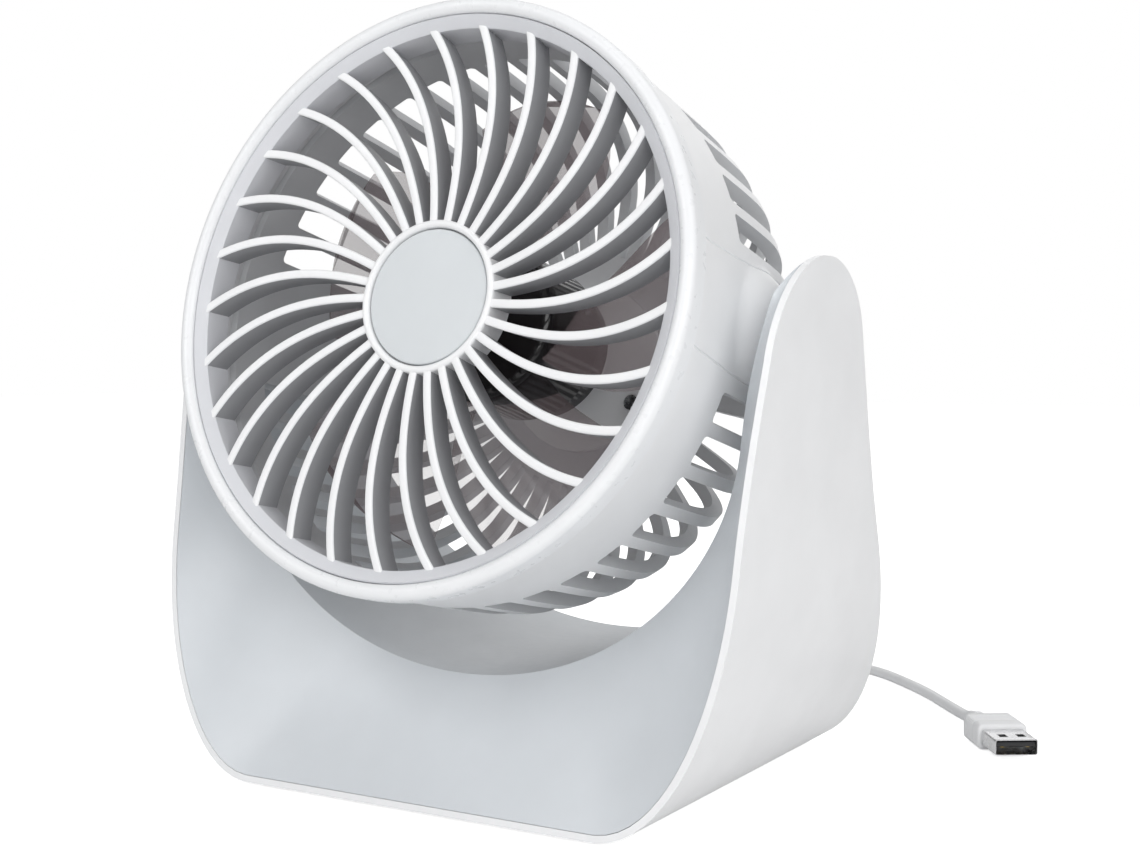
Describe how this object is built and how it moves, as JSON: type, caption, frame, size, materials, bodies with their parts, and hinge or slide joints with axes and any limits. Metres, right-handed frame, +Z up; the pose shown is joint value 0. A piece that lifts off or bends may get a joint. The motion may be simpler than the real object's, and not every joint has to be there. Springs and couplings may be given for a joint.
{
  "type": "desk fan",
  "caption": "Small USB desk fan: a round head with a swirl grille tilts between the two arms of a U-shaped base; rear button, lead with a USB-A plug.",
  "frame": {"origin": "on the surface that the fan stands on, under the middle of the fan's box", "axes": "+Z up; the grille faces -Y at rest and the rear button is on the +Y side; +X is to the right seen from the front, along the tilt axis"},
  "size_m": [0.2079, 0.2419, 0.1996],
  "materials": {
    "white_plastic": "satin moulded plastic",
    "light_grey_plastic": "satin moulded plastic",
    "smoky_plastic": "clear smoky moulded plastic",
    "black_steel": "gloss black",
    "black_plastic": "smooth",
    "bright_steel": "bright",
    "magnet_grey": "pressed ferrite",
    "bearing_bronze": "sintered",
    "copper_windings": "enamelled wire on a steel core",
    "grey_rubber": "matt",
    "clear_lens": "polished",
    "circuit_green": "solder mask",
    "white_cord": "soft sheath"
  },
  "bodies": {
    "base": {"base_shell": "white_plastic", "cradle": "light_grey_plastic", "rear_panel": "light_grey_plastic", "bottom_cover": "light_grey_plastic", "bottom_screw_1": "bright_steel", "bottom_screw_2": "bright_steel", "bottom_screw_3": "bright_steel", "bottom_screw_4": "bright_steel", "foot_1": "grey_rubber", "foot_2": "grey_rubber", "foot_3": "grey_rubber", "foot_4": "grey_rubber", "circuit_board": "circuit_green", "tact_switch": "black_plastic", "indicator_lens": "clear_lens", "cord_gland": "white_plastic", "pivot_bush_left": "bearing_bronze", "pivot_bush_right": "bearing_bronze", "cord_start": "white_cord", "cord_coil": "white_cord", "cord_lead": "white_cord", "plug_relief": "white_cord", "plug_body": "white_plastic", "plug_shell": "bright_steel", "plug_tongue": "black_plastic"},
    "head": {"drum_housing": "white_plastic", "front_bezel": "white_plastic", "front_grille": "white_plastic", "grille_badge": "light_grey_plastic", "motor_bracket": "white_plastic", "bracket_screw_1": "bright_steel", "bracket_screw_2": "bright_steel", "bracket_screw_3": "bright_steel", "motor_stator": "copper_windings", "bearing_rear": "bearing_bronze", "bearing_front": "bearing_bronze", "pivot_pin_left": "bright_steel", "pivot_pin_right": "bright_steel", "friction_washer_left": "grey_rubber", "friction_washer_right": "grey_rubber"},
    "rotor": {"impeller": "smoky_plastic", "rotor_can": "black_steel", "rotor_magnet": "magnet_grey", "motor_shaft": "bright_steel"},
    "button": {"button_cap": "white_plastic"}
  },
  "joints": [
    {"name": "head_tilt", "type": "hinge", "parent": "base", "child": "head", "pos_m": [0, -0.00834, 0.1172], "axis": [-1, 0, 0], "range_deg": [-30, 75]},
    {"name": "impeller_spin", "type": "hinge", "parent": "head", "child": "rotor", "pos_m": [0, -0.00834, 0.1172], "axis": [0, -0.9724, 0.2334], "continuous": true},
    {"name": "button_press", "type": "slide", "parent": "base", "child": "button", "axis": [0, -0.922, -0.3872], "range_m": [0, 0.0008], "stiffness_N_per_m": 800}
  ]
}
